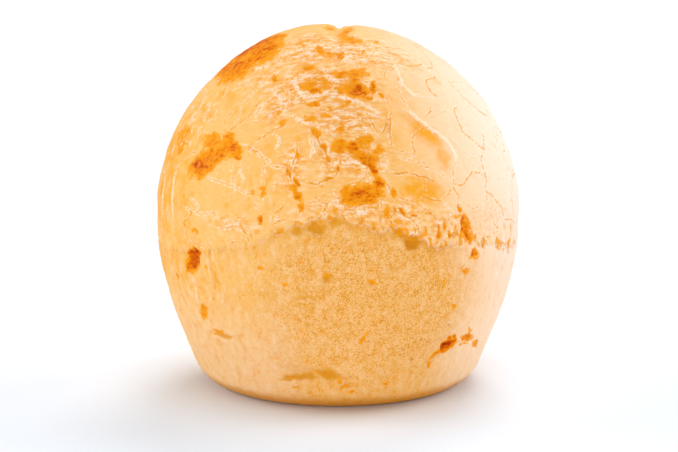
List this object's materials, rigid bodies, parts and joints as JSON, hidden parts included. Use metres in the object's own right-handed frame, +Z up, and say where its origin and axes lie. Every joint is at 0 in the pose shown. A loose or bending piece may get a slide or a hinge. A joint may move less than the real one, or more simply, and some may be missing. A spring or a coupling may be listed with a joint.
{
  "type": "pao de queijo cheese ball",
  "caption": "Baked cheese bread ball with a cracked golden skin over the crown, a torn skin edge at the waist and a flat foot to stand on",
  "frame": {"origin": "centre of the ball's box, on the plane it stands on", "axes": "+Z up, the more cracked side faces -Y"},
  "size_m": [0.0602, 0.0604, 0.0598],
  "materials": {
    "crust": "baked cheese bread crust, golden and dry, finely cracked above and finely pored below"
  },
  "bodies": {
    "root": {"cheese_ball": "crust"}
  },
  "joints": []
}
